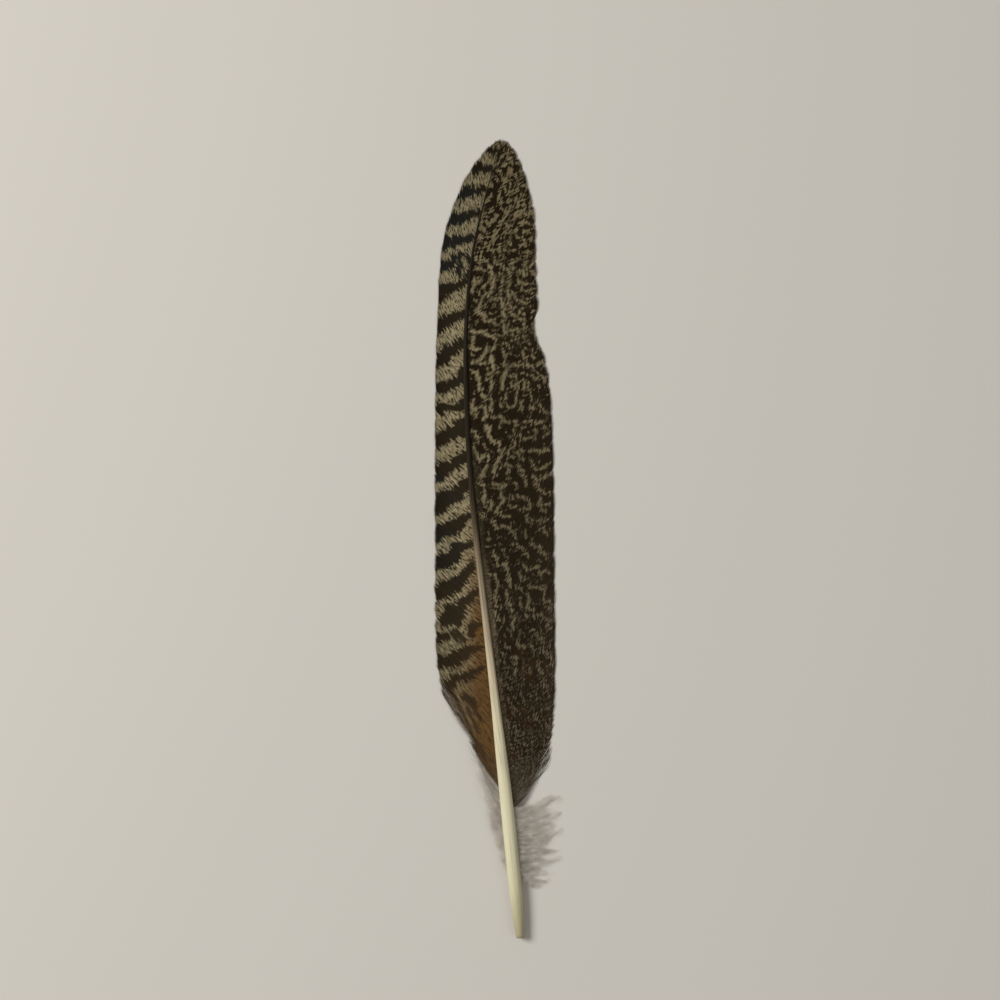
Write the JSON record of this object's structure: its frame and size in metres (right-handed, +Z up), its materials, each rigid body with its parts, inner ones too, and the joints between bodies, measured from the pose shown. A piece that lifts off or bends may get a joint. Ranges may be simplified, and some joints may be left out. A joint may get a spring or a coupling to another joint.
{
  "type": "barred wing feather",
  "caption": "Barred and marbled brown wing feather with a pale tapering quill, a narrow and a wide vane, and loose down at its foot, lying flat.",
  "frame": {"origin": "under the middle of the feather's box, on the surface that it lies on", "axes": "+Y from the quill to the tip, +X to the wide vane, +Z up through the upper side"},
  "size_m": [0.0508, 0.3201, 0.0058],
  "materials": {
    "vane": "fine parallel barbs, dark brown bars and marbling on cream, matt with a faint sheen",
    "quill": "smooth ivory horn, satin, darkening to brown towards the tip",
    "down": "loose grey-beige down, matt"
  },
  "bodies": {
    "root": {"feather": "vane"}
  },
  "joints": []
}
